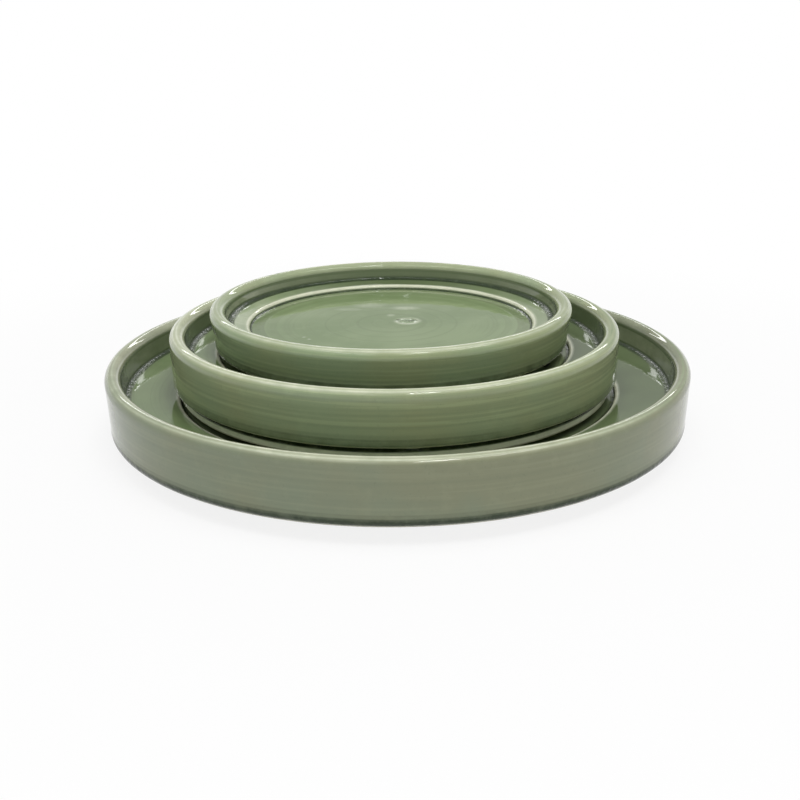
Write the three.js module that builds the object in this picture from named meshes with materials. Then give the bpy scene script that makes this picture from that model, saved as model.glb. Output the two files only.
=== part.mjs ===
// Plant saucers: a nested set of three glazed stoneware saucers, each on three small rubber feet.
// Each saucer is one fired piece with an upright wall, a full-round rim, a ledge, a shallow recess
// that takes a pot or the next saucer, and an unglazed foot ring under it that carries the feet.
// Millimetres, +Z up. The origin is on the ground, under the centre of the large saucer.

import * as THREE from 'three';

// Sizes that all three saucers share
const rimThickness = 7;
const wallThickening = 1;
const recessDepth = 2;
const recessEdgeRadius = 1;
const cornerRadius = 1.2;
const baseEdgeRadius = 3;
const hollowRadius = 3;
const ringMargin = 0.5;
const ringChamfer = 0.6;

// The rubber feet
const footCount = 3;
const footHeight = 2.5;
const footEdge = 0.6;
const glueLine = 0.1;

// How the saucers nest: the open ring round each smaller one, and how far its wall stands
// outside the recess that its feet rest in
const mediumGap = 22.9;
const smallGap = 12.5;
const mediumOverhang = 1.7;
const smallOverhang = 0.3;
const restGap = 0.1;

// Sizes of their own. Heights are above the lower edge of that saucer's outer wall, the foot ring
// goes below it, and foot angles are counted from the front, anticlockwise seen from above. The
// ledge height is at the recess, and the ledge rises from there to the wall.
const large = {
  name: 'large',
  rimRadius: 130,
  wallTaper: 0.8,
  wellDepth: 14.7,
  ledgeHeight: 12.5,
  ledgeRise: 2.2,
  floorThickness: 6,
  ringInset: 16,
  ringDrop: 4.4,
  footDiameter: 8,
  firstFootAngle: 2.7,
  sideShift: 0,
  segments: 84
};

const medium = {
  name: 'medium',
  rimRadius: large.rimRadius - rimThickness - mediumGap,
  wallTaper: 0.4,
  wellDepth: 11.1,
  ledgeHeight: 12,
  ledgeRise: 0.5,
  floorThickness: 6,
  ringInset: 3.2,
  ringDrop: 5.6,
  footDiameter: 5.4,
  firstFootAngle: 4.7,
  sideShift: -1.3,
  segments: 72
};

const small = {
  name: 'small',
  rimRadius: medium.rimRadius - rimThickness - smallGap,
  wallTaper: 1.8,
  wellDepth: 9,
  ledgeHeight: 9.2,
  ledgeRise: 1,
  floorThickness: 5,
  ringInset: 4.1,
  ringDrop: 1.7,
  footDiameter: 5,
  firstFootAngle: 66,
  sideShift: -1.4,
  ledgeWidth: 9.4,
  segments: 64
};

// Each recess follows what stands in it; the small saucer's follows its own ledge
large.recessRadius = baseRadius(medium) - mediumOverhang;
medium.recessRadius = baseRadius(small) - smallOverhang;
small.recessRadius = wellRadius(small) - small.ledgeWidth;

const glazeMaterial = new THREE.MeshStandardMaterial({
  name: 'glaze',
  color: 0x868d72,
  roughness: 0.22,
  metalness: 0
});

const rubberMaterial = new THREE.MeshStandardMaterial({
  name: 'foot_rubber',
  color: 0x1d1d1c,
  roughness: 0.8,
  metalness: 0
});

function baseRadius(saucer) {
  return saucer.rimRadius - saucer.wallTaper;
}

function wellRadius(saucer) {
  return saucer.rimRadius - rimThickness - wallThickening;
}

function recessFloor(saucer) {
  return saucer.ledgeHeight - recessDepth;
}

// How high the wall's lower edge stands above the face under the feet
function lift(saucer) {
  return footHeight + glueLine + saucer.ringDrop;
}

function ringOuterRadius(saucer) {
  return baseRadius(saucer) - saucer.ringInset;
}

function ringWidth(saucer) {
  return saucer.footDiameter + 2 * ringMargin;
}

// Points of an arc in the profile plane, radius across and height up, angles in degrees
function arc(centreRadius, centreHeight, radius, startAngle, endAngle, steps) {
  const points = [];
  for (let i = 0; i <= steps; i += 1) {
    const angle = THREE.MathUtils.degToRad(startAngle + (endAngle - startAngle) * i / steps);
    points.push(new THREE.Vector2(
      centreRadius + radius * Math.cos(angle),
      centreHeight + radius * Math.sin(angle)
    ));
  }
  return points;
}

// Turns a profile round the Z axis: the lathe turns about Y, so the result is laid over
function turned(profile, segments) {
  const geometry = new THREE.LatheGeometry(profile, segments);
  geometry.rotateX(Math.PI / 2);
  return geometry;
}

// The underside, from the axis out: the hollow, its cove, and the foot ring with chamfered edges
function undersideProfile(saucer) {
  const hollowHeight = recessFloor(saucer) - saucer.floorThickness;
  const ringBottom = -saucer.ringDrop;
  const outer = ringOuterRadius(saucer);
  const inner = outer - ringWidth(saucer);
  const cove = Math.min(hollowRadius, (hollowHeight - ringBottom) / 2);
  return [
    new THREE.Vector2(0, hollowHeight),
    ...arc(inner - cove, hollowHeight - cove, cove, 90, 0, 2),
    new THREE.Vector2(inner, ringBottom + ringChamfer),
    new THREE.Vector2(inner + ringChamfer, ringBottom),
    new THREE.Vector2(outer - ringChamfer, ringBottom),
    new THREE.Vector2(outer, ringBottom + ringChamfer),
    new THREE.Vector2(outer, 0)
  ];
}

// The wall: its rounded lower edge, the outer face and the full-round rim
function wallProfile(saucer) {
  const base = baseRadius(saucer);
  const edge = Math.min(baseEdgeRadius, saucer.ringInset / 2);
  const rimRound = rimThickness / 2;
  const rimHeight = saucer.ledgeHeight + saucer.wellDepth;
  return [
    ...arc(base - edge, edge, edge, -90, 0, 2),
    ...arc(saucer.rimRadius - rimRound, rimHeight - rimRound, rimRound, 0, 180, 6)
  ];
}

// The inside: the tight cove where the wall meets the ledge, then the ledge, which falls towards
// its rounded edge, and the recess, back to the axis
function insideProfile(saucer) {
  const well = wellRadius(saucer);
  const ledge = saucer.ledgeHeight;
  const wallHeight = saucer.wellDepth - rimThickness / 2 - saucer.ledgeRise;
  const corner = Math.min(cornerRadius, wallHeight / 2);
  const edge = Math.min(recessEdgeRadius, recessDepth / 2);
  const recess = saucer.recessRadius;
  const floor = recessFloor(saucer);
  return [
    ...arc(well - corner, ledge + saucer.ledgeRise + corner, corner, 0, -90, 2),
    ...arc(recess + edge, ledge - edge, edge, 90, 180, 2),
    ...arc(recess - edge, floor + edge, edge, 0, -90, 2),
    new THREE.Vector2(0, floor)
  ];
}

function makeSaucer(saucer) {
  const profile = [
    ...undersideProfile(saucer),
    ...wallProfile(saucer),
    ...insideProfile(saucer)
  ];
  const mesh = new THREE.Mesh(turned(profile, saucer.segments), glazeMaterial);
  mesh.name = `${saucer.name}_saucer`;
  return mesh;
}

// One rubber foot, standing on its own origin, with a rounded-off lower edge
function makeFoot(saucer, number) {
  const radius = saucer.footDiameter / 2;
  const profile = [
    new THREE.Vector2(0, 0),
    new THREE.Vector2(radius - footEdge, 0),
    new THREE.Vector2(radius, footEdge),
    new THREE.Vector2(radius, footHeight),
    new THREE.Vector2(0, footHeight)
  ];
  const mesh = new THREE.Mesh(turned(profile, 20), rubberMaterial);
  mesh.name = `${saucer.name}_foot_${number}`;
  return mesh;
}

// The feet stand in the middle of the foot ring, evenly round it
function placeFeet(saucer) {
  const feet = [];
  const circleRadius = ringOuterRadius(saucer) - ringWidth(saucer) / 2;
  for (let i = 0; i < footCount; i += 1) {
    const degrees = saucer.firstFootAngle - 90 + 360 * i / footCount;
    const angle = THREE.MathUtils.degToRad(degrees);
    const foot = makeFoot(saucer, i + 1);
    foot.position.set(circleRadius * Math.cos(angle), circleRadius * Math.sin(angle), -lift(saucer));
    feet.push(foot);
  }
  return feet;
}

// A saucer with its feet, in a group whose origin is level with the lower edge of its wall
function assemble(saucer) {
  const group = new THREE.Group();
  group.name = `${saucer.name}_assembly`;
  group.add(makeSaucer(saucer), ...placeFeet(saucer));
  return group;
}

// Stands one assembly in the recess of another, a little to one side as they were put down
function standIn(host, hostGroup, guest, guestGroup) {
  const height = recessFloor(host) + restGap + lift(guest);
  guestGroup.position.set(guest.sideShift, 0, height);
  hostGroup.add(guestGroup);
}

const largeAssembly = assemble(large);
const mediumAssembly = assemble(medium);
const smallAssembly = assemble(small);

largeAssembly.position.set(large.sideShift, 0, lift(large));
standIn(large, largeAssembly, medium, mediumAssembly);
standIn(medium, mediumAssembly, small, smallAssembly);

const saucerSet = new THREE.Group();
saucerSet.name = 'nested_saucers';
saucerSet.add(largeAssembly);

export default saucerSet;
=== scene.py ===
"""Looks of the nested plant saucers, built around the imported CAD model.

Each saucer is turned again here as one fine mesh from the sizes of the CAD node that it replaces,
and so is each rubber foot. Only the two roundings of the recess and the groove above the foot ring
are the scene's own. Lengths are in metres, in the frame of the CAD model.
"""

import math

import bpy
import numpy as np
from mathutils import Matrix, Vector


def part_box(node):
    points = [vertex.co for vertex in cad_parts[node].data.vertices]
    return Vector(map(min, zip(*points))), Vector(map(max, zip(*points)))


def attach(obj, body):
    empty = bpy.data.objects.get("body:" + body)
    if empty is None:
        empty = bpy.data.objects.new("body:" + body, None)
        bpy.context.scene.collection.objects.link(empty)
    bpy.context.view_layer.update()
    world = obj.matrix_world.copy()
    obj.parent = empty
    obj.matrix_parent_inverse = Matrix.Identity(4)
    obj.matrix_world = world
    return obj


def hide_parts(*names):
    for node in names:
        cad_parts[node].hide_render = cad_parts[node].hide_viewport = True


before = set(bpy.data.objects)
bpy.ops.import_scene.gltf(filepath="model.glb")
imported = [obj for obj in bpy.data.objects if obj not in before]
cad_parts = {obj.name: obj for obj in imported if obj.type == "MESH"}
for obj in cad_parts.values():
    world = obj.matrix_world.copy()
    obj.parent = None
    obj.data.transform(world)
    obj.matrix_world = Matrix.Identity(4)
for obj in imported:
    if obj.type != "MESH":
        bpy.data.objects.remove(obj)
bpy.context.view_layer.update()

MM = 0.001
SEED = 5224
SEED_STEP = 10

# Sizes that the saucers share, as in the CAD model
RIM_THICKNESS = 7.0 * MM
WALL_THICKENING = 1.0 * MM
RECESS_DEPTH = 2.0 * MM
CORNER = 1.2 * MM
BASE_EDGE = 3.0 * MM
BASE_EDGE_SHARE = 0.5
HOLLOW_COVE = 3.0 * MM
RING_MARGIN = 0.5 * MM
RING_CHAMFER = 0.6 * MM
FOOT_EDGE = 0.6 * MM
FOOT_HEIGHT = 2.5 * MM
FOOT_COUNT = 3

# The scene's own: the roundings at the top and the bottom of the recess wall, and the groove
# between the foot ring and the wall above it
RECESS_EDGE = 1.5 * MM
RECESS_CORNER = 0.4 * MM
GROOVE_DEPTH = 2.6 * MM
GROOVE_HEIGHT = 2.5 * MM

# Sizes and glaze of each saucer's own, and the light and shade painted on it. Heights are above the
# lower edge of its outer wall. Where a value has four parts, they are for the front, right, back
# and
# left of the ring: painted light and shade on the rim, painted light on the inner wall, painted
# shade on the ledge and a painted sheen on the ledge, each set by how the lamps fall on that side.
# The share for the inside half of the rim is painted light as well. The bead of dark glaze that
# hangs under a wall has its angle from the front in degrees, anticlockwise seen from above, its
# height, half its width and half its own height.
SAUCERS = {
    "large": {
        "side": 0.0,
        "taper": 0.8 * MM,
        "ledge": 12.5 * MM,
        "rise": 2.2 * MM,
        "recess_radius": 98.0 * MM,
        "floor_thickness": 6.0 * MM,
        "ring_inset": 16.0 * MM,
        "ring_drop": 4.4 * MM,
        "foot_diameter": 8.0 * MM,
        "rim_inside_light": 0.85,
        "rim_light_by_side": (0.8, 0.0, 1.0, 0.35),
        "inner_wall_light_by_side": (0.0, 0.22, 0.18, 0.1),
        "ledge_shade_by_side": (0.45, 0.95, 0.6, 0.4),
        "ledge_sheen_by_side": (0.0, 0.0, 0.0, 0.0),
        "floor_step": 1.6 * MM,
        "lower": 1.0,
        "bead": None,
        "wall_colour": (0.208, 0.243, 0.160),
        "banding": 0.15,
    },
    "medium": {
        "side": -1.3 * MM,
        "taper": 0.4 * MM,
        "ledge": 12.0 * MM,
        "rise": 0.5 * MM,
        "recess_radius": 78.5 * MM,
        "floor_thickness": 6.0 * MM,
        "ring_inset": 3.2 * MM,
        "ring_drop": 5.6 * MM,
        "foot_diameter": 5.4 * MM,
        "rim_inside_light": 0.6,
        "rim_light_by_side": (1.0, 0.05, 0.8, 0.8),
        "inner_wall_light_by_side": (0.0, 0.0, 0.1, 0.05),
        "ledge_shade_by_side": (0.6, 1.0, 0.8, 0.1),
        "ledge_sheen_by_side": (0.0, 0.0, 0.0, 0.0),
        "floor_step": 1.6 * MM,
        "lower": 0.6,
        "bead": (3.8, -1.2 * MM, 2.8 * MM, 1.1 * MM),
        "wall_colour": (0.280, 0.346, 0.202),
        "banding": 0.35,
    },
    "small": {
        "side": -2.7 * MM,
        "taper": 1.8 * MM,
        "ledge": 9.2 * MM,
        "rise": 1.0 * MM,
        "recess_radius": 63.2 * MM,
        "floor_thickness": 5.0 * MM,
        "ring_inset": 4.1 * MM,
        "ring_drop": 1.7 * MM,
        "foot_diameter": 5.0 * MM,
        "rim_inside_light": 0.35,
        "rim_light_by_side": (0.85, 0.35, 0.7, 0.5),
        "inner_wall_light_by_side": (0.0, 0.2, 0.03, 0.3),
        "ledge_shade_by_side": (0.4, 0.3, 1.0, 0.0),
        "ledge_sheen_by_side": (0.0, 0.1, 0.0, 0.24),
        "floor_step": 0.8 * MM,
        "lower": 0.8,
        "bead": (64.0, -1.4 * MM, 2.2 * MM, 1.3 * MM),
        "wall_colour": (0.258, 0.330, 0.188),
        "banding": 0.3,
    },
}

# The world is white up to the first height of a direction. From the second one up it lights the
# object with this grey, and what the camera sees and what is mirrored there is this pale.
WORLD_LOW = 0.10
WORLD_HIGH = 0.24
WORLD_GREY = 0.34
WORLD_PALE = 0.55

# The floor, how far from the middle it turns plain white, and how white it is before that
FLOOR_HALF_SIZE = 6.0
FLOOR_COLOUR = (0.8, 0.8, 0.8, 1.0)
FLOOR_ROUGHNESS = 0.9
FLOOR_FADE_START = 0.16
FLOOR_FADE_END = 0.40
FLOOR_GLOW = 0.85

# How far the marks of the glaze run into each other
MARK_BLUR = 0.25 * MM

# The nub near the middle of the small saucer's floor, the swellings round it, and the painted
# reflections on the floor and in a ring round the nub. Each spot has its place across the floor,
# its half sizes and its share, and each bump its place, its size and its height.
SWIRL_PLACE = (7.4 * MM, 2.6 * MM)
SWIRL_PITCH = 3.4 * MM
SWIRL_SIZE = 5.2 * MM
SWIRL_HEIGHT = 0.30 * MM
SWIRL_GROOVE = 0.45
NUB_REFLECTION = 0.38
NUB_RING = 4.9 * MM
NUB_RING_WIDTH = 1.1 * MM
REFLECTION_SPOTS = [
    ((6.5 * MM, 25.5 * MM), (6.2 * MM, 3.2 * MM), 0.26),
    ((-10.5 * MM, 32.0 * MM), (7.0 * MM, 5.0 * MM), 0.14),
    ((-0.1 * MM, 13.1 * MM), (1.8 * MM, 2.0 * MM), 0.2),
    ((-20.0 * MM, 24.0 * MM), (6.0 * MM, 2.4 * MM), 0.12),
    ((-37.7 * MM, -21.6 * MM), (0.5 * MM, 0.8 * MM), 0.4),
    ((-35.3 * MM, -24.8 * MM), (0.5 * MM, 0.8 * MM), 0.4),
]
DARK_SPOTS = [
    ((9.0 * MM, 3.0 * MM), (3.4 * MM, 1.3 * MM), 0.45),
    ((3.1 * MM, 4.0 * MM), (1.2 * MM, 1.6 * MM), 0.5),
]
SMALL_BUMPS = [
    ((-37.7 * MM, -21.6 * MM), 0.5 * MM, 0.12 * MM),
    ((-35.3 * MM, -24.8 * MM), 0.6 * MM, 0.12 * MM),
    ((5.8 * MM, 23.0 * MM), 5.0 * MM, 0.06 * MM),
    ((-3.0 * MM, 20.0 * MM), 3.0 * MM, 0.05 * MM),
    ((14.0 * MM, 1.0 * MM), 5.0 * MM, 0.04 * MM),
]
SPOT_RAGGED = 0.12
SPOT_WAVE = 3.0 * MM
SPOT_SEED = 91
FLOOR_REACH = 0.8 * MM

# The beads of glaze: nothing further in than the radius belongs to one
BEAD_INNER_RADIUS = 60.0 * MM
BEAD_BULGE = 1.1 * MM

# Wheel bands along the section: pairs of wavelength and share, each drawn a few times
BANDS = ((7.0 * MM, 0.4), (3.1 * MM, 0.35), (1.7 * MM, 0.35), (0.9 * MM, 0.3))
BAND_DRAWS = 3
BAND_SPREAD = (0.75, 1.35)
BAND_DEPTH = 0.25

# Smooth random values are sums of this many waves, whose lengths spread by these factors
WAVE_COUNT = 14
WAVE_SPREAD = (0.7, 1.5)

# The unevenness of the clay: wavelengths and depths, and how far the whole surface lies inside
SLOW_WAVE, SLOW_DEPTH = 26.0 * MM, 0.020 * MM
MIDDLE_WAVE, MIDDLE_DEPTH = 9.0 * MM, 0.006 * MM
RINGS_WAVE, RINGS_DEPTH = 3.2 * MM, 0.004 * MM
RINGS_SQUASH = (0.06, 0.06, 1.0)
SURFACE_SINK = 0.08 * MM

# How patchy the painted light and shade are round the rim, the ledge and the inner wall
PATCH_WAVE = 18.0 * MM
PATCH_SEED = 5
RIM_PATCH = 0.07
LEDGE_PATCH = 0.06
LEDGE_SHEEN_PATCH = 0.3
WALL_LIGHT_PATCH = 0.2

# Steps of the fine meshes
TURN_STEPS = 384
FLAT_STEP = 1.6 * MM
WALL_STEP = 0.6 * MM
CENTRE_STEP = 0.35 * MM
CENTRE_RADIUS = 13.0 * MM
FLOOR_EDGE_WIDTH = 6.0 * MM
CORNER_RUN = 1.0 * MM
ARC_STEPS = 12
EDGE_STEPS = 10
COVE_STEPS = 6
POOL_STEPS = 5
CLAY_STEPS = 4
FOOT_STEPS = 48
FOOT_STEP = 0.5 * MM
SHORTEST_STEP = 0.01 * MM
SEAM = 0.1 * MM
WELL_SEAM = 0.2 * MM
RIM_SEAM = 0.4 * MM

# Where the glaze changes along the section: angles of the arcs in degrees, and heights
CLAY_TOP = -54
CLAY_LINE = 0.7 * MM
LOWER_START = -50
LOWER_FADE_TOP = 3.8 * MM
LOWER_TRACE_TOP = 5.4 * MM
CORNER_END = -84
BULLNOSE_START = 88
POOL_START = -4
POOL_SHARE, POOL_RUN = 0.35, 60

# The photograph's camera: the image is 800 pixels square
IMAGE_SIZE = 800
FOCAL_PIXELS = 1122.5
SENSOR = 36.0
CAMERA_DISTANCE = 0.520
CAMERA_ELEVATION = 19.843
CAMERA_YAW = 0.105
CAMERA_PITCH = 0.345
CAMERA_ROLL = 0.633
CAMERA_CLIP = 0.01
AIM_HEIGHT = 7.0 * MM

# The two painted highlights on the rim, in degrees from straight out, over the top to the inside,
# where the pale of glaze run thin with a painted sheen starts and ends, and where the inner wall's
# colour starts
RIM_CREST_HIGHLIGHT = 88.0
RIM_SHOULDER_HIGHLIGHT = 59.0
RIM_HIGHLIGHT_WIDTH = 6.0
RIM_SHOULDER_HIGHLIGHT_SHARE = 0.8
RIM_THIN_AND_SHEEN = 0.5
RIM_PALE_START, RIM_PALE_RUN = 32, 20
RIM_PALE_END, RIM_PALE_OUT = 180, 12
RIM_INNER_START, RIM_INNER_RUN = 155, 25

# Colours of the glaze, and how the wall's own colour turns olive, pale and dark
# Cream and chalk also give the painted highlights, sheen and reflections, and deep green the
# painted shade
CREAM = (0.575, 0.592, 0.430)
CHALK = (0.800, 0.825, 0.670)
FLOOR_GREEN = (0.170, 0.240, 0.106)
FLOOR_LIGHT = (0.226, 0.298, 0.148)
INSIDE_GREEN = (0.100, 0.136, 0.062)
DEEP_GREEN = (0.022, 0.038, 0.014)
CLAY_COLOUR = (0.420, 0.400, 0.300)
OLIVE_TINT = (1.08, 0.98, 0.92)
PALE_TINT = (1.5, 1.42, 1.36)
DARK_TINT = (0.72, 0.72, 0.72)
GLAZE_ROUGHNESS = 0.03
CLAY_ROUGHNESS = 0.75
GLAZE_IOR = 1.46
RUBBER_COLOUR = (0.012, 0.012, 0.012)
RUBBER_DUST = (0.04, 0.04, 0.038)

# Sizes of the mottling and of the fine relief, and how deep the relief goes
CLOUD_SIZE = 45.0 * MM
STREAK_SIZE = 24.0 * MM
STREAK_STRETCH = (1.6, 1.6, 0.05)
MOTTLE_SIZE = 6.0 * MM
SPECK_SIZE = 1.1 * MM
PEEL_SIZE, PEEL_DEPTH = 2.2 * MM, 0.012 * MM
CRINKLE_SIZE, CRINKLE_DEPTH = 2.4 * MM, 0.35 * MM
GRAIN_SIZE, GRAIN_DEPTH = 0.35 * MM, 0.15 * MM
RUBBER_GRAIN, RUBBER_DEPTH = 0.4 * MM, 0.04 * MM

# The lamps: name, azimuth, elevation, distance, size, power and whether the glaze mirrors it
LAMPS = [
    ("lamp_top", 8, 80, 1.3, (0.8, 0.8), 8, False),
    ("lamp_left", -55, 60, 1.4, (1.3, 0.05), 2.2, True),
    ("lamp_right", 50, 62, 1.4, (1.2, 0.05), 3.0, True),
    ("lamp_back", 180, 27, 1.5, (1.5, 0.06), 2.0, True),
    ("lamp_front", 24, 66, 1.4, (0.26, 0.05), 2.0, True),
]


def turned_about(first, second, degrees):
    """Two camera axes, turned in their own plane."""
    angle = math.radians(degrees)
    cos, sin = math.cos(angle), math.sin(angle)
    return first * cos - second * sin, first * sin + second * cos


def make_camera():
    elevation = math.radians(CAMERA_ELEVATION)
    forward = Vector((0.0, math.cos(elevation), -math.sin(elevation)))
    right = Vector((1.0, 0.0, 0.0))
    up = right.cross(forward)
    place = Vector((0.0, 0.0, AIM_HEIGHT)) - forward * CAMERA_DISTANCE
    right, forward = turned_about(right, forward, CAMERA_YAW)
    up, forward = turned_about(up, forward, CAMERA_PITCH)
    right, up = turned_about(right, up, CAMERA_ROLL)
    data = bpy.data.cameras.new("photo_camera")
    data.sensor_width = SENSOR
    data.lens = FOCAL_PIXELS / IMAGE_SIZE * SENSOR
    data.clip_start = CAMERA_CLIP
    camera = bpy.data.objects.new("photo_camera", data)
    turn = Matrix((right, up, -forward)).transposed().to_4x4()
    camera.matrix_world = Matrix.Translation(place) @ turn
    bpy.context.scene.collection.objects.link(camera)
    bpy.context.scene.camera = camera


class Profile:
    """Points of a turned section, each with its marks: what the glaze does there."""

    def __init__(self):
        self.points = []
        self.marks = []

    def add(self, radius, height, mark):
        self.points.append((radius, height))
        self.marks.append(mark)

    def line_to(self, radius, height, mark, step):
        start_radius, start_height = self.points[-1]
        length = math.hypot(radius - start_radius, height - start_height)
        count = max(1, math.ceil(length / step))
        for i in range(1, count + 1):
            share = i / count
            self.add(
                start_radius + (radius - start_radius) * share,
                start_height + (height - start_height) * share,
                mark,
            )

    def arc(self, centre_radius, centre_height, size, start, end, mark, steps=ARC_STEPS):
        for i in range(steps + 1):
            degrees = start + (end - start) * i / steps
            angle = math.radians(degrees)
            self.add(
                centre_radius + size * math.cos(angle),
                centre_height + size * math.sin(angle),
                mark(degrees) if callable(mark) else mark,
            )


# Shares of a stretch of the section: glaze run thin together with painted highlights, sheen and
# reflections; glaze pooled together with painted shade; bare clay; inner wall, which on the ledges
# is painted shade; and ledge or floor. The places of those that the glazing changes come first.
THIN_AND_HIGHLIGHT, POOLED_AND_SHADE, INNER, FLAT = 0, 1, 3, 4
LABELS = ("thin_and_highlight", "pooled_and_shade", "bare", "inner", "flat", "band")
OUTSIDE = (0.0, 0.0, 0.0, 0.0, 0.0)
LOWER_BAND = (0.0, 1.0, 0.0, 0.0, 0.0)
LOWER_FADE = (0.0, 0.75, 0.0, 0.0, 0.0)
LOWER_TRACE = (0.0, 0.25, 0.0, 0.0, 0.0)
CLAY_EDGE = (0.7, 0.0, 0.5, 0.0, 0.0)
BARE = (0.0, 0.0, 1.0, 0.0, 0.0)
INNER_WALL = (0.0, 0.0, 0.0, 1.0, 0.0)
LEDGE = (0.0, 0.0, 0.0, 0.0, 1.0)
CORNER_FADE = (0.0, 0.6, 0.0, 0.9, 0.1)
FLOOR = (0.0, 0.0, 0.0, 0.0, 1.0)
# Darker floor near the recess wall: partly pooled glaze, partly painted shade
FLOOR_EDGE_SHADE = (0.0, 0.25, 0.0, 0.0, 0.75)
# The top rounding of the recess wall: a painted highlight, with glaze run thin over the edge
BULLNOSE_HIGHLIGHT = (1.0, 0.0, 0.0, 0.0, 0.35)
CORNER_POOL = (0.0, 1.0, 0.0, 1.0, 0.0)
# Painted shade: deep green in the groove under the wall, where shadow falls
GROOVE_SHADE = (0.0, 1.0, 0.0, 0.0, 0.0)
BEAD_GLAZE = (0.0, 1.0, 0.0, 0.0, 0.0)
# The outer face of the foot ring in chalk: partly its pale clay, partly painted light in the shade
# under the wall
LIT_RING_FACE = (1.0, 0.0, 0.0, 0.0, 1.0)


def scaled(mark, share):
    return tuple(part * share for part in mark)


def corner_mark(degrees):
    """The glaze pools towards the bottom of the corner."""
    return (0.0, min(1.0, POOL_SHARE - degrees / POOL_RUN), 0.0, 1.0, 0.0)


def rim_mark(degrees, inside):
    """The rim is pale, from glaze run thin and a painted sheen, with painted highlights in a line
    on its crest and one outside it.
    """
    crest = math.exp(-((degrees - RIM_CREST_HIGHLIGHT) / RIM_HIGHLIGHT_WIDTH) ** 2)
    shoulder = math.exp(-((degrees - RIM_SHOULDER_HIGHLIGHT) / RIM_HIGHLIGHT_WIDTH) ** 2)
    fade_in = max(0.0, (degrees - RIM_PALE_START) / RIM_PALE_RUN)
    fade = min(1.0, fade_in, (RIM_PALE_END - degrees) / RIM_PALE_OUT)
    base = RIM_THIN_AND_SHEEN if degrees < RIM_CREST_HIGHLIGHT else inside
    line = min(1.0, crest + RIM_SHOULDER_HIGHLIGHT_SHARE * shoulder)
    thin_and_highlight = base * fade + (1 - base) * line
    return (thin_and_highlight, 0.0, 0.0, max(0.0, (degrees - RIM_INNER_START) / RIM_INNER_RUN), line)


def saucer_section(saucer, rim_radius, rim_height):
    """The whole section of a saucer from the axis under it to the axis inside it."""
    base = rim_radius - saucer["taper"]
    well = rim_radius - RIM_THICKNESS - WALL_THICKENING
    ledge = saucer["ledge"]
    shoulder = ledge + saucer["rise"]
    floor = ledge - RECESS_DEPTH
    hollow = floor - saucer["floor_thickness"]
    ring_bottom = -saucer["ring_drop"]
    ring_outer = base - saucer["ring_inset"]
    ring_inner = ring_outer - saucer["foot_diameter"] - 2 * RING_MARGIN
    cove = min(HOLLOW_COVE, (hollow - ring_bottom) / 2)
    groove = min(GROOVE_HEIGHT, (saucer["ring_drop"] - RING_CHAMFER) / 2)
    edge = min(BASE_EDGE, saucer["ring_inset"] * BASE_EDGE_SHARE)
    rim = RIM_THICKNESS / 2
    recess = saucer["recess_radius"]
    section = Profile()
    section.add(0.0, hollow, OUTSIDE)
    section.line_to(ring_inner - cove - FLAT_STEP, hollow, OUTSIDE, 2 * FLAT_STEP)
    section.arc(ring_inner - cove, hollow - cove, cove, 90, 0, LOWER_BAND, COVE_STEPS)
    section.line_to(ring_inner, ring_bottom + RING_CHAMFER, BARE, WALL_STEP)
    section.line_to(ring_inner + RING_CHAMFER, ring_bottom, BARE, WALL_STEP)
    section.line_to(ring_outer - RING_CHAMFER, ring_bottom, BARE, FLAT_STEP)
    section.line_to(ring_outer, ring_bottom + RING_CHAMFER, BARE, WALL_STEP)
    # Foot ring face: pale clay with painted light in the wall's shade
    section.line_to(ring_outer, -groove, LIT_RING_FACE, WALL_STEP / 2)
    # Painted shade in the groove under the wall
    section.line_to(ring_outer - GROOVE_DEPTH, 0.0, GROOVE_SHADE, WALL_STEP / 2)
    section.line_to(base - edge - SEAM, 0.0, BARE, FLAT_STEP)
    line = math.degrees(CLAY_LINE / edge)
    centre = (base - edge, edge, edge)
    section.arc(*centre, -90, CLAY_TOP, BARE, COVE_STEPS)
    section.arc(*centre, CLAY_TOP, CLAY_TOP + line, CLAY_EDGE, CLAY_STEPS)
    lower = saucer["lower"]
    section.arc(*centre, LOWER_START + line, 0, scaled(LOWER_BAND, lower), EDGE_STEPS)
    section.line_to(base, LOWER_FADE_TOP, scaled(LOWER_FADE, lower), WALL_STEP / 2)
    section.line_to(base, LOWER_TRACE_TOP, scaled(LOWER_TRACE, lower), WALL_STEP)
    section.line_to(rim_radius, rim_height - rim - RIM_SEAM, OUTSIDE, WALL_STEP)
    # The rim: pale glaze with a painted sheen, and painted highlights on its crest and shoulder
    section.arc(
        rim_radius - rim, rim_height - rim, rim, 0, 180,
        lambda degrees: rim_mark(degrees, saucer["rim_inside_light"]), 5 * ARC_STEPS,
    )
    section.line_to(well, shoulder + CORNER + WELL_SEAM, INNER_WALL, WALL_STEP)
    section.arc(well - CORNER, shoulder + CORNER, CORNER, 0, CORNER_END, corner_mark)
    section.line_to(well - CORNER - CORNER_RUN, shoulder, CORNER_FADE, WALL_STEP / 2)
    section.line_to(recess + RECESS_EDGE + WELL_SEAM, ledge, LEDGE, FLAT_STEP / 2)
    # Painted highlight along the top rounding of the recess wall
    section.arc(
        recess + RECESS_EDGE, ledge - RECESS_EDGE, RECESS_EDGE, BULLNOSE_START, 180,
        BULLNOSE_HIGHLIGHT, EDGE_STEPS,
    )
    section.arc(
        recess - RECESS_CORNER, floor + RECESS_CORNER, RECESS_CORNER, POOL_START, -90,
        CORNER_POOL, POOL_STEPS,
    )
    # Floor near the recess wall: pooled glaze and painted shade
    section.line_to(recess - FLOOR_EDGE_WIDTH, floor, FLOOR_EDGE_SHADE, saucer["floor_step"])
    section.line_to(CENTRE_RADIUS, floor, FLOOR, saucer["floor_step"])
    section.line_to(CENTRE_STEP / 2, floor, FLOOR, CENTRE_STEP)
    section.add(0.0, floor, FLOOR)
    return section


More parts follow.
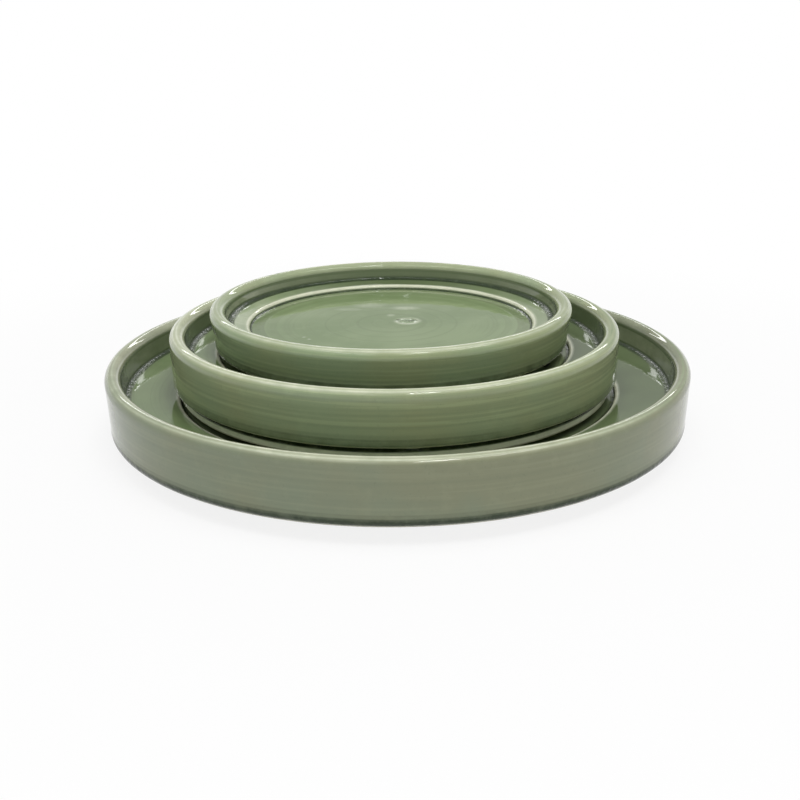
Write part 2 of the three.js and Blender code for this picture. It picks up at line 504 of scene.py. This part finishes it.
def wave_sum(points, wavelength, seed, squash=(1.0, 1.0, 1.0)):
    """Smooth random values round nought for each point, of about one wavelength."""
    random = np.random.RandomState(SEED + seed)
    total = np.zeros(len(points))
    for _ in range(WAVE_COUNT):
        direction = random.normal(size=3)
        direction /= np.linalg.norm(direction)
        size = 2 * math.pi / (wavelength * random.uniform(*WAVE_SPREAD))
        wave = direction * size * np.array(squash)
        total += np.sin(points @ wave + random.uniform(0, 2 * math.pi))
    return total / math.sqrt(WAVE_COUNT)


def blurred(values, places, width):
    """Values along the section, smoothed over a width along it."""
    distance = places[:, None] - places[None, :]
    weight = np.exp(-0.5 * (distance / width) ** 2)
    spacing = np.gradient(places)
    weight = weight * spacing[None, :]
    return weight @ values / weight.sum(axis=1)[:, None]


def section_bands(places):
    """Light and dark bands that the wheel left in the glaze: values along the section only."""
    random = np.random.RandomState(SEED)
    total = np.zeros(len(places))
    for wavelength, share in BANDS:
        for _ in range(BAND_DRAWS):
            size = 2 * math.pi / (wavelength * random.uniform(*BAND_SPREAD))
            total += share * np.sin(places * size + random.uniform(0, 2 * math.pi))
    return 0.5 + BAND_DEPTH * total


def turned_mesh(name, section, turn_steps, relief=None, glazing=None):
    """Turns a section round Z. relief(points) gives how far each point is moved inwards, and
    glazing(points, shares) changes what the glaze does at each point."""
    profile = np.array(section.points)
    marks = np.array(section.marks)
    keep = np.ones(len(profile), bool)
    keep[1:] = np.hypot(*(profile[1:] - profile[:-1]).T) > SHORTEST_STEP
    profile, marks = profile[keep], marks[keep]
    steps = np.hypot(*np.diff(profile, axis=0).T)
    places = np.concatenate(([0.0], np.cumsum(steps)))
    tangent = np.gradient(profile, axis=0)
    tangent /= np.maximum(np.hypot(*tangent.T), 1e-12)[:, None]
    normal = np.stack([tangent[:, 1], -tangent[:, 0]], axis=1)
    bands = section_bands(places)
    marks = np.column_stack([blurred(marks, places, MARK_BLUR), bands])

    ring = np.arange(turn_steps) * 2 * math.pi / turn_steps
    cos, sin = np.cos(ring), np.sin(ring)
    inner = slice(1, len(profile) - 1)
    radius, height = profile[inner, 0], profile[inner, 1]
    body = np.stack([
        np.outer(radius, cos),
        np.outer(radius, sin),
        np.outer(height, np.ones(turn_steps)),
    ], axis=2).reshape(-1, 3)
    outward = np.stack([
        np.outer(normal[inner, 0], cos),
        np.outer(normal[inner, 0], sin),
        np.outer(normal[inner, 1], np.ones(turn_steps)),
    ], axis=2).reshape(-1, 3)
    if relief is not None:
        body = body - outward * relief(body)[:, None]
    first = np.array([[0.0, 0.0, profile[0, 1]]])
    last = np.array([[0.0, 0.0, body[-turn_steps:, 2].mean()]])
    points = np.concatenate([first, body, last])

    rows = len(radius)
    faces = []
    after = [(j + 1) % turn_steps for j in range(turn_steps)]
    for j in range(turn_steps):
        faces.append((0, 1 + after[j], 1 + j))
    for i in range(rows - 1):
        low, high = 1 + i * turn_steps, 1 + (i + 1) * turn_steps
        for j in range(turn_steps):
            faces.append((low + j, low + after[j], high + after[j], high + j))
    top = 1 + rows * turn_steps
    low = 1 + (rows - 1) * turn_steps
    for j in range(turn_steps):
        faces.append((low + j, low + after[j], top))

    mesh = bpy.data.meshes.new(name)
    mesh.from_pydata(points.tolist(), [], faces)
    mesh.polygons.foreach_set("use_smooth", [True] * len(mesh.polygons))
    spread = np.repeat(marks[inner], turn_steps, axis=0)
    shares = np.concatenate([marks[:1], spread, marks[-1:]])
    if glazing is not None:
        glazing(points, shares)
    for column, label in enumerate(LABELS):
        layer = mesh.attributes.new(label, "FLOAT", "POINT")
        layer.data.foreach_set("value", shares[:, column].astype(np.float32))
    mesh.update()
    return mesh


def bump_at(points, place, size, height, floor):
    """A low round bump on a floor, at a place across it."""
    across = np.hypot(points[:, 0] - place[0], points[:, 1] - place[1])
    on_floor = np.abs(points[:, 2] - floor) < FLOOR_REACH
    return np.where(on_floor, height * np.exp(-(across / size) ** 2), 0.0)


def swirl(points, floor):
    """The spiral nub that the potter's finger left near the middle of the small saucer."""
    x = points[:, 0] - SWIRL_PLACE[0]
    y = points[:, 1] - SWIRL_PLACE[1]
    across = np.hypot(x, y)
    turn = np.arctan2(y, x)
    groove = np.cos(2 * math.pi * across / SWIRL_PITCH - turn)
    shape = np.exp(-(across / SWIRL_SIZE) ** 2)
    on_floor = np.abs(points[:, 2] - floor) < FLOOR_REACH
    depth = 1 - SWIRL_GROOVE + SWIRL_GROOVE * groove
    return np.where(on_floor, SWIRL_HEIGHT * shape * depth, 0.0)


def bead_share(points, bead):
    """How far each point belongs to a bead of glaze that hangs under the wall, from 0 to 1."""
    turn, height, width, tall = bead
    angle = np.arctan2(points[:, 1], points[:, 0]) - math.radians(turn - 90)
    angle = (angle + math.pi) % (2 * math.pi) - math.pi
    along = angle * np.hypot(points[:, 0], points[:, 1])
    shape = np.exp(-(along / width) ** 4 - ((points[:, 2] - height) / tall) ** 4)
    outer = np.hypot(points[:, 0], points[:, 1]) > BEAD_INNER_RADIUS
    return np.where(outer, shape, 0.0)


def around(points, four):
    """A value that runs round the ring through its values at the front, right, back and left."""
    across = np.maximum(np.hypot(points[:, 0], points[:, 1]), MM)
    right, back = points[:, 0] / across, points[:, 1] / across
    parts = (np.maximum(-back, 0), np.maximum(right, 0), np.maximum(back, 0), np.maximum(-right, 0))
    return sum(value * part ** 2 for value, part in zip(four, parts))


def spot(points, place, half):
    """One inside an oval on the floor, fading to nought across its edge."""
    along = (points[:, 0] - place[0]) / half[0]
    across = (points[:, 1] - place[1]) / half[1]
    return np.exp(-(along ** 2 + across ** 2) ** 2)


def floor_marks(points, shares, floor):
    """Painted reflections on the floor by the nub, in a ring round it and over low swellings, and
    the floor's dark spots.
    """
    on_floor = np.abs(points[:, 2] - floor) < FLOOR_REACH
    ragged = 1 + SPOT_RAGGED * wave_sum(points, SPOT_WAVE, SPOT_SEED)
    # Painted reflections: pale spots and a pale ring round the nub
    pale = np.zeros(len(points))
    for place, half, share in REFLECTION_SPOTS:
        pale = np.maximum(pale, share * spot(points, place, half) * ragged)
    away = np.hypot(points[:, 0] - SWIRL_PLACE[0], points[:, 1] - SWIRL_PLACE[1])
    pale = np.maximum(pale, NUB_REFLECTION * np.exp(-((away - NUB_RING) / NUB_RING_WIDTH) ** 2) * ragged)
    thin_and_highlight, pooled_and_shade = shares[:, THIN_AND_HIGHLIGHT], shares[:, POOLED_AND_SHADE]
    thin_and_highlight[on_floor] = np.clip(pale, 0, 1)[on_floor]
    for place, half, share in DARK_SPOTS:
        dark = share * spot(points, place, half)
        pooled_and_shade[on_floor] = np.maximum(pooled_and_shade, dark)[on_floor]
        thin_and_highlight[on_floor] *= (1 - dark)[on_floor]


def saucer_glazing(name, saucer, rim_height, seed):
    """Painted light and shade that change round the rim, the ledge and the inner wall, the painted
    reflections and dark spots on the small saucer's floor, and the beads of glaze.
    """
    def glazing(points, shares):
        thin_and_highlight, pooled_and_shade, inner, flat = (shares[:, column] for column in (THIN_AND_HIGHLIGHT, POOLED_AND_SHADE, INNER, FLAT))
        patchy = wave_sum(points, PATCH_WAVE, seed + PATCH_SEED)
        rim_light_by_side = around(points, saucer["rim_light_by_side"]) + RIM_PATCH * patchy
        ledge_shade_by_side = around(points, saucer["ledge_shade_by_side"]) + LEDGE_PATCH * patchy
        ledge_sheen_by_side = around(points, saucer["ledge_sheen_by_side"]) * (1 + LEDGE_SHEEN_PATCH * patchy)
        wall_light_by_side = around(points, saucer["inner_wall_light_by_side"]) * (1 + WALL_LIGHT_PATCH * patchy)

        on_rim = points[:, 2] > rim_height - RIM_THICKNESS / 2 - MM
        # Painted light and shade on the rim, set side by side; darkest on the right
        thin_and_highlight[on_rim] *= np.clip(rim_light_by_side, 0, 1)[on_rim]
        radius = np.hypot(points[:, 0], points[:, 1])
        on_ledge = (radius > saucer["recess_radius"]) & (flat > 0.5) & (pooled_and_shade < 0.3)
        on_ledge &= (points[:, 2] > saucer["ledge"] - MM) & ~on_rim
        # Painted shade on the ledge, in the inner wall's darker green, set side by side
        inner[on_ledge] = np.clip(ledge_shade_by_side, 0, 1)[on_ledge]
        # Painted sheen on the ledge, set side by side
        ledge_face = on_ledge & (thin_and_highlight < 0.3)
        thin_and_highlight[ledge_face] = np.clip(ledge_sheen_by_side, 0, 1)[ledge_face]
        # Painted light on the inner wall, set side by side
        on_wall = (inner > 0.9) & (pooled_and_shade < 0.1) & ~on_ledge & ~on_rim
        thin_and_highlight[on_wall] = np.clip(wall_light_by_side, 0, 1)[on_wall]
        if name == "small":
            floor_marks(points, shares, saucer["ledge"] - RECESS_DEPTH)
        if saucer["bead"] is not None:
            share = bead_share(points, saucer["bead"])[:, None]
            glaze = shares[:, :len(BEAD_GLAZE)]
            glaze[:] = glaze * (1 - share) + np.array(BEAD_GLAZE) * share
    return glazing


def saucer_relief(name, saucer, seed):
    """The unevenness of thrown and glazed clay, as how far the surface lies inside its section."""
    floor = saucer["ledge"] - RECESS_DEPTH

    def relief(points):
        slow = wave_sum(points, SLOW_WAVE, seed)
        middle = wave_sum(points, MIDDLE_WAVE, seed + 1)
        rings = wave_sum(points, RINGS_WAVE, seed + 2, squash=RINGS_SQUASH)
        total = SLOW_DEPTH * slow + MIDDLE_DEPTH * middle + RINGS_DEPTH * rings + SURFACE_SINK
        if saucer["bead"] is not None:
            total -= BEAD_BULGE * bead_share(points, saucer["bead"])
        if name == "small":
            total -= swirl(points, floor)
            for place, size, height in SMALL_BUMPS:
                total -= bump_at(points, place, size, height, floor)
        return total
    return relief


def place_piece(mesh, name, place, body, material, node):
    piece = bpy.data.objects.new(name, mesh)
    piece.location = place
    bpy.context.scene.collection.objects.link(piece)
    mesh.materials.append(material)
    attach(piece, body)
    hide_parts(node)


class Nodes:
    """Short ways to add and join the nodes of one material or world."""

    def __init__(self, owner):
        owner.use_nodes = True
        self.owner = owner
        self.tree = owner.node_tree
        self.shader = self.tree.nodes.get("Principled BSDF")

    def node(self, kind, **settings):
        made = self.tree.nodes.new(kind)
        for key, value in settings.items():
            setattr(made, key, value)
        return made

    def join(self, source, target):
        self.tree.links.new(source, target)

    def attribute(self, name):
        return self.node("ShaderNodeAttribute", attribute_name=name).outputs["Fac"]

    def math(self, operation, first, second, clamp=False):
        """One operation on a socket, with a number or another socket."""
        made = self.node("ShaderNodeMath", operation=operation, use_clamp=clamp)
        self.join(first, made.inputs[0])
        if isinstance(second, float):
            made.inputs[1].default_value = second
        else:
            self.join(second, made.inputs[1])
        return made.outputs[0]

    def noise(self, size, stretch=(1.0, 1.0, 1.0), detail=2.0, roughness=0.5, offset=0.0):
        """Noise whose features are about size metres, drawn out along an axis by stretch."""
        place = self.node("ShaderNodeTexCoord").outputs["Object"]
        mapping = self.node("ShaderNodeMapping")
        mapping.inputs["Scale"].default_value = [1 / (size * s) for s in stretch]
        mapping.inputs["Location"].default_value = (offset, offset, offset)
        self.join(place, mapping.inputs["Vector"])
        noise = self.node("ShaderNodeTexNoise")
        noise.inputs["Scale"].default_value = 1.0
        noise.inputs["Detail"].default_value = detail
        noise.inputs["Roughness"].default_value = roughness
        self.join(mapping.outputs["Vector"], noise.inputs["Vector"])
        return noise.outputs["Fac"]

    def ramp(self, value, low, high, first=0.0, second=1.0):
        """Goes smoothly from first to second while the value goes from low to high."""
        made = self.node("ShaderNodeMapRange", interpolation_type="SMOOTHSTEP")
        for key, number in zip(("From Min", "From Max", "To Min", "To Max"),
                               (low, high, first, second)):
            made.inputs[key].default_value = number
        self.join(value, made.inputs["Value"])
        return made.outputs["Result"]

    def mix(self, share, first, second):
        """A colour between two, each of them a colour or a socket."""
        made = self.node("ShaderNodeMix", data_type="RGBA")
        self.join(share, made.inputs["Factor"])
        for key, value in (("A", first), ("B", second)):
            socket = [s for s in made.inputs if s.name == key and s.type == "RGBA"][0]
            if isinstance(value, tuple):
                socket.default_value = (*value, 1.0)
            else:
                self.join(value, socket)
        return [s for s in made.outputs if s.type == "RGBA"][0]

    def bump(self, height, distance, under=None):
        """Relief of the given depth in metres, over an earlier bump where there is one."""
        made = self.node("ShaderNodeBump")
        made.inputs["Strength"].default_value = 1.0
        made.inputs["Distance"].default_value = distance
        self.join(height, made.inputs["Height"])
        if under is not None:
            self.join(under, made.inputs["Normal"])
        return made.outputs["Normal"]


def glaze_material(name, wall, banding):
    """Grey-green glossy glaze over clay: cream where it runs thin and where highlights, sheen and
    reflections are painted, dark green where it pools and where shade is painted.
    """
    made = Nodes(bpy.data.materials.new(name))
    thin_and_highlight, pooled_and_shade, bare, inner, flat, band = (made.attribute(label) for label in LABELS)
    cloud = made.noise(CLOUD_SIZE, detail=3.0)
    streak = made.noise(STREAK_SIZE, stretch=STREAK_STRETCH, detail=3.0, offset=3.0)
    mottle = made.noise(MOTTLE_SIZE, detail=4.0, roughness=0.6, offset=7.0)
    speck = made.noise(SPECK_SIZE, offset=17.0)
    olive, pale, dark = (
        tuple(part * factor for part, factor in zip(wall, tint))
        for tint in (OLIVE_TINT, PALE_TINT, DARK_TINT)
    )

    outside = made.mix(made.ramp(cloud, 0.35, 0.65), wall, olive)
    banded = made.math("MULTIPLY", band, made.ramp(streak, 0.3, 0.7, 0.5, 1.5))
    outside = made.mix(made.ramp(banded, 0.55, 0.95, 0.0, banding), outside, pale)
    outside = made.mix(made.ramp(banded, 0.05, 0.45, banding, 0.0), outside, dark)
    outside = made.mix(made.ramp(mottle, 0.5, 0.75, 0.0, 0.14), outside, pale)
    outside = made.mix(made.ramp(speck, 0.62, 0.72, 0.0, 0.25), outside, dark)
    level = made.mix(made.ramp(cloud, 0.35, 0.7), FLOOR_GREEN, FLOOR_LIGHT)
    level = made.mix(made.ramp(mottle, 0.45, 0.75, 0.0, 0.45), level, FLOOR_LIGHT)
    level = made.mix(made.ramp(banded, 0.1, 0.5, 0.18, 0.0), level, INSIDE_GREEN)
    colour = made.mix(flat, outside, level)
    # Darker green inside; on the ledges it is painted shade
    colour = made.mix(inner, colour, INSIDE_GREEN)
    uneven = made.ramp(mottle, 0.25, 0.75, 0.8, 1.2)
    # Cream and chalk: glaze run thin, together with painted highlights, sheen and reflections
    pale_and_highlight = made.math("MULTIPLY", thin_and_highlight, uneven, clamp=True)
    colour = made.mix(pale_and_highlight, colour, made.mix(flat, CREAM, CHALK))
    # Deep green: pooled glaze, together with painted shade in the groove and near the recess wall
    colour = made.mix(made.math("MULTIPLY", pooled_and_shade, uneven, clamp=True), colour, DEEP_GREEN)
    colour = made.mix(bare, colour, CLAY_COLOUR)
    made.join(colour, made.shader.inputs["Base Color"])

    rough = made.ramp(bare, 0.2, 0.8, GLAZE_ROUGHNESS, CLAY_ROUGHNESS)
    made.join(rough, made.shader.inputs["Roughness"])
    made.shader.inputs["IOR"].default_value = GLAZE_IOR

    soft = made.bump(made.noise(PEEL_SIZE, offset=11.0), PEEL_DEPTH)
    crinkle = made.math("MULTIPLY", made.noise(CRINKLE_SIZE, detail=3.0, offset=23.0), pooled_and_shade)
    creased = made.bump(crinkle, CRINKLE_DEPTH, under=soft)
    grain = made.math("MULTIPLY", made.noise(GRAIN_SIZE), bare)
    made.join(made.bump(grain, GRAIN_DEPTH, under=creased), made.shader.inputs["Normal"])
    return made.owner


def rubber_material():
    """Matt black rubber with a little dust in its grain."""
    made = Nodes(bpy.data.materials.new("black_rubber"))
    grain = made.noise(RUBBER_GRAIN, detail=3.0)
    colour = made.mix(made.ramp(grain, 0.4, 0.8), RUBBER_COLOUR, RUBBER_DUST)
    made.join(colour, made.shader.inputs["Base Color"])
    made.join(made.ramp(grain, 0.3, 0.7, 0.55, 0.8), made.shader.inputs["Roughness"])
    made.join(made.bump(grain, RUBBER_DEPTH), made.shader.inputs["Normal"])
    return made.owner


def foot_section(diameter):
    radius = diameter / 2
    section = Profile()
    section.add(0.0, 0.0, OUTSIDE)
    section.line_to(radius - FOOT_EDGE - SEAM, 0.0, OUTSIDE, FOOT_STEP)
    section.arc(radius - FOOT_EDGE, FOOT_EDGE, FOOT_EDGE, -90, 0, OUTSIDE, COVE_STEPS)
    section.line_to(radius, FOOT_HEIGHT, OUTSIDE, FOOT_STEP)
    section.line_to(FOOT_STEP, FOOT_HEIGHT, OUTSIDE, FOOT_STEP)
    section.add(0.0, FOOT_HEIGHT, OUTSIDE)
    return section


def make_saucer(name, saucer, seed, glaze):
    low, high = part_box(f"{name}_saucer")
    rim_radius = (high.y - low.y) / 2
    wall_foot = low.z + saucer["ring_drop"]
    section = saucer_section(saucer, rim_radius, high.z - wall_foot)
    relief = saucer_relief(name, saucer, seed)
    glazing = saucer_glazing(name, saucer, high.z - wall_foot, seed)
    mesh = turned_mesh(f"{name}_body", section, TURN_STEPS, relief, glazing)
    place = Vector((saucer["side"], 0.0, wall_foot))
    place_piece(mesh, f"{name}_saucer_glazed", place, name, glaze, f"{name}_saucer")


def make_feet(name, saucer, rubber):
    for number in range(1, FOOT_COUNT + 1):
        node = f"{name}_foot_{number}"
        low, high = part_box(node)
        place = Vector(((low.x + high.x) / 2, (low.y + high.y) / 2, low.z))
        mesh = turned_mesh(f"{node}_mesh", foot_section(saucer["foot_diameter"]), FOOT_STEPS)
        place_piece(mesh, f"{node}_rubber", place, name, rubber, node)


def make_floor():
    """A white floor. To the camera and in reflections it is nearly white and keeps the shadow."""
    mesh = bpy.data.meshes.new("floor")
    signs = ((-1, -1), (1, -1), (1, 1), (-1, 1))
    corners = [(x * FLOOR_HALF_SIZE, y * FLOOR_HALF_SIZE, 0.0) for x, y in signs]
    mesh.from_pydata(corners, [], [(0, 1, 2, 3)])
    floor = bpy.data.objects.new("floor", mesh)
    bpy.context.scene.collection.objects.link(floor)
    made = Nodes(bpy.data.materials.new("white_floor"))
    made.shader.inputs["Base Color"].default_value = FLOOR_COLOUR
    made.shader.inputs["Roughness"].default_value = FLOOR_ROUGHNESS
    made.shader.inputs["Specular IOR Level"].default_value = 0.0
    glow = made.node("ShaderNodeEmission")
    glow.inputs["Strength"].default_value = 1.0
    plain = made.node("ShaderNodeBsdfDiffuse")
    plain.inputs["Color"].default_value = FLOOR_COLOUR
    place = made.node("ShaderNodeTexCoord").outputs["Object"]
    away = made.node("ShaderNodeVectorMath", operation="LENGTH")
    made.join(place, away.inputs[0])
    bright = made.node("ShaderNodeMixShader")
    fade = made.ramp(away.outputs["Value"], FLOOR_FADE_START, FLOOR_FADE_END, FLOOR_GLOW, 1.0)
    made.join(fade, bright.inputs["Fac"])
    made.join(plain.outputs[0], bright.inputs[1])
    made.join(glow.outputs[0], bright.inputs[2])
    both = made.node("ShaderNodeMixShader")
    made.join(light_path_share(made), both.inputs["Fac"])
    made.join(made.shader.outputs[0], both.inputs[1])
    made.join(bright.outputs[0], both.inputs[2])
    made.join(both.outputs[0], made.tree.nodes["Material Output"].inputs["Surface"])
    mesh.materials.append(made.owner)


def light_path_share(made):
    """One for rays from the camera, or for those of a reflection or a see-through surface."""
    path = made.node("ShaderNodeLightPath")
    either = made.math("MAXIMUM", path.outputs["Is Camera Ray"], path.outputs["Is Glossy Ray"])
    return made.math("MAXIMUM", either, path.outputs["Is Transmission Ray"])


def make_world():
    """White low down, behind the floor, and pale higher up to the camera and in reflections."""
    world = bpy.data.worlds.new("studio")
    bpy.context.scene.world = world
    made = Nodes(world)
    split = made.node("ShaderNodeSeparateXYZ")
    made.join(made.node("ShaderNodeTexCoord").outputs["Generated"], split.inputs["Vector"])
    level = made.ramp(split.outputs["Z"], WORLD_LOW, WORLD_HIGH, 1.0, WORLD_GREY)
    pale = made.math("MULTIPLY", light_path_share(made), WORLD_PALE)
    background = made.tree.nodes["Background"]
    background.inputs["Color"].default_value = (1.0, 1.0, 1.0, 1.0)
    made.join(made.math("MAXIMUM", pale, level), background.inputs["Strength"])


def add_lamp(name, azimuth, elevation, distance, size, power, mirrored):
    """A softbox that faces the saucers. Azimuth 0 is the camera's side, 90 the right."""
    turn, climb = math.radians(azimuth), math.radians(elevation)
    direction = Vector((
        math.sin(turn) * math.cos(climb),
        -math.cos(turn) * math.cos(climb),
        math.sin(climb),
    ))
    data = bpy.data.lights.new(name, "AREA")
    data.shape = "RECTANGLE"
    data.size, data.size_y = size
    data.energy = power
    lamp = bpy.data.objects.new(name, data)
    lamp.location = direction * distance
    lamp.rotation_euler = direction.to_track_quat("Z", "Y").to_euler()
    lamp.visible_glossy = mirrored
    bpy.context.scene.collection.objects.link(lamp)


make_camera()
rubber = rubber_material()
for seed, (name, saucer) in enumerate(SAUCERS.items()):
    glaze = glaze_material(f"green_glaze_{name}", saucer["wall_colour"], saucer["banding"])
    make_saucer(name, saucer, SEED_STEP * seed, glaze)
    make_feet(name, saucer, rubber)

make_floor()
make_world()
for lamp in LAMPS:
    add_lamp(*lamp)

bpy.context.scene.view_settings.view_transform = "Standard"
